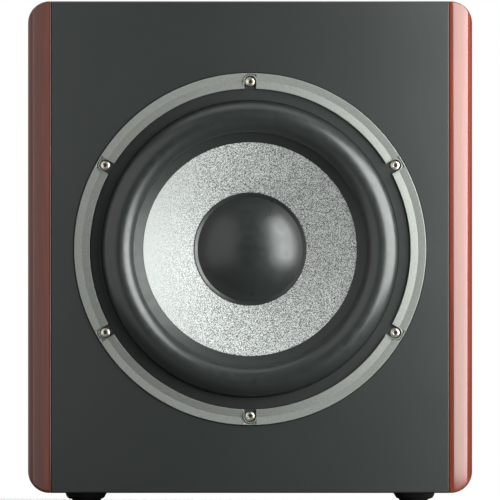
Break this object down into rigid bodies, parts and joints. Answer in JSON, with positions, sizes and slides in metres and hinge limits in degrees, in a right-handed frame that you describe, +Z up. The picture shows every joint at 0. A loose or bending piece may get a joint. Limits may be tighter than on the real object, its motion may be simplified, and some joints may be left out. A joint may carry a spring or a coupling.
{
  "type": "subwoofer",
  "caption": "Active studio subwoofer: a sealed box with rounded wooden side panels, a long-throw woofer in a screwed metal trim ring, and an amplifier on the back.",
  "frame": {"origin": "on the floor under the middle of the box, level with the undersides of the feet", "axes": "+Z up, -Y out of the front where the woofer is, +Y out of the back, +X to the right as seen from the front"},
  "size_m": [0.47, 0.4554, 0.532],
  "materials": {
    "painted_board": "satin",
    "veneer": "gloss",
    "raw_board": "matte",
    "felt": "matte",
    "foot_rubber": "matte",
    "surround_rubber": "satin",
    "seal_rubber": "matte",
    "cable_jacket": "satin",
    "screw_steel": "satin",
    "ring_metal": "satin",
    "cast_frame": "matte",
    "glass_fibre": "satin",
    "cap_skin": "satin",
    "former_film": "satin",
    "copper": "satin",
    "spider_cloth": "matte",
    "zinc_steel": "satin",
    "ferrite": "matte",
    "braid": "satin",
    "black_plastic": "satin",
    "plate_paint": "satin",
    "sink_anodised": "satin",
    "housing_steel": "satin",
    "board_green": "satin",
    "winding_tape": "satin",
    "capacitor_sleeve": "gloss",
    "nickel": "gloss",
    "gold_plate": "gloss",
    "fuse_glass": "gloss",
    "led_lens": "gloss"
  },
  "bodies": {
    "root": {"front_baffle": "painted_board", "top_panel": "painted_board", "bottom_panel": "painted_board", "back_panel": "painted_board", "left_side_panel": "veneer", "right_side_panel": "veneer", "window_brace": "raw_board", "acoustic_lining": "felt", "rubber_feet": "foot_rubber", "foot_screws": "zinc_steel", "baffle_inserts": "zinc_steel", "trim_ring": "ring_metal", "driver_screws": "screw_steel", "basket": "cast_frame", "basket_gasket": "seal_rubber", "surround": "surround_rubber", "spider": "spider_cloth", "top_plate": "zinc_steel", "magnet": "ferrite", "yoke": "zinc_steel", "motor_screws": "zinc_steel", "tinsel_leads": "braid", "terminal_block": "black_plastic", "speaker_cable": "cable_jacket", "amp_plate": "plate_paint", "amp_gasket": "seal_rubber", "amp_screws": "screw_steel", "heat_sink": "sink_anodised", "amp_housing": "housing_steel", "power_board": "board_green", "control_board": "board_green", "transformer": "winding_tape", "transformer_clamp": "zinc_steel", "capacitors": "capacitor_sleeve", "transistors": "black_plastic", "mains_inlet": "black_plastic", "inlet_pins": "nickel", "switch_frame": "black_plastic", "potentiometers": "zinc_steel", "input_sockets": "black_plastic", "output_sockets": "black_plastic", "output_pins": "gold_plate", "footswitch_jack": "nickel", "panel_fasteners": "zinc_steel", "phase_switch_body": "zinc_steel", "status_led": "led_lens"},
    "moving_assembly": {"cone": "glass_fibre", "dust_cap": "cap_skin", "coil_former": "former_film", "voice_coil": "copper"},
    "level_control": {"level_knob": "black_plastic", "level_shaft": "nickel"},
    "crossover_control": {"crossover_knob": "black_plastic", "crossover_shaft": "nickel"},
    "rocker": {"power_rocker": "black_plastic"},
    "phase_slider": {"phase_switch": "black_plastic"},
    "left_release": {"left_latch": "nickel"},
    "right_release": {"right_latch": "nickel"},
    "fuse_holder": {"fuse_drawer": "black_plastic", "fuse": "fuse_glass"}
  },
  "joints": [
    {"name": "cone_travel", "type": "slide", "parent": "root", "child": "moving_assembly", "axis": [0, -1, 0], "range_m": [-0.012, 0.012], "stiffness_N_per_m": 4500, "deforming": ["surround", "spider", "tinsel_leads"]},
    {"name": "level_turn", "type": "hinge", "parent": "root", "child": "level_control", "pos_m": [0.098, 0.2157, 0.24], "axis": [0, 1, 0], "range_deg": [-150, 150]},
    {"name": "crossover_turn", "type": "hinge", "parent": "root", "child": "crossover_control", "pos_m": [0.058, 0.2157, 0.24], "axis": [0, 1, 0], "range_deg": [-150, 150]},
    {"name": "power_rock", "type": "hinge", "parent": "root", "child": "rocker", "pos_m": [-0.068, 0.2037, 0.194], "axis": [-1, 0, 0], "range_deg": [0, 14]},
    {"name": "phase_slide", "type": "slide", "parent": "root", "child": "phase_slider", "axis": [-1, 0, 0], "range_m": [0, 0.0042]},
    {"name": "left_release_press", "type": "slide", "parent": "root", "child": "left_release", "axis": [0, -1, 0], "range_m": [0, 0.0025], "stiffness_N_per_m": 800},
    {"name": "right_release_press", "type": "slide", "parent": "root", "child": "right_release", "axis": [0, -1, 0], "range_m": [0, 0.0025], "stiffness_N_per_m": 800},
    {"name": "fuse_pull", "type": "slide", "parent": "root", "child": "fuse_holder", "axis": [0, 1, 0], "range_m": [0, 0.018]}
  ]
}
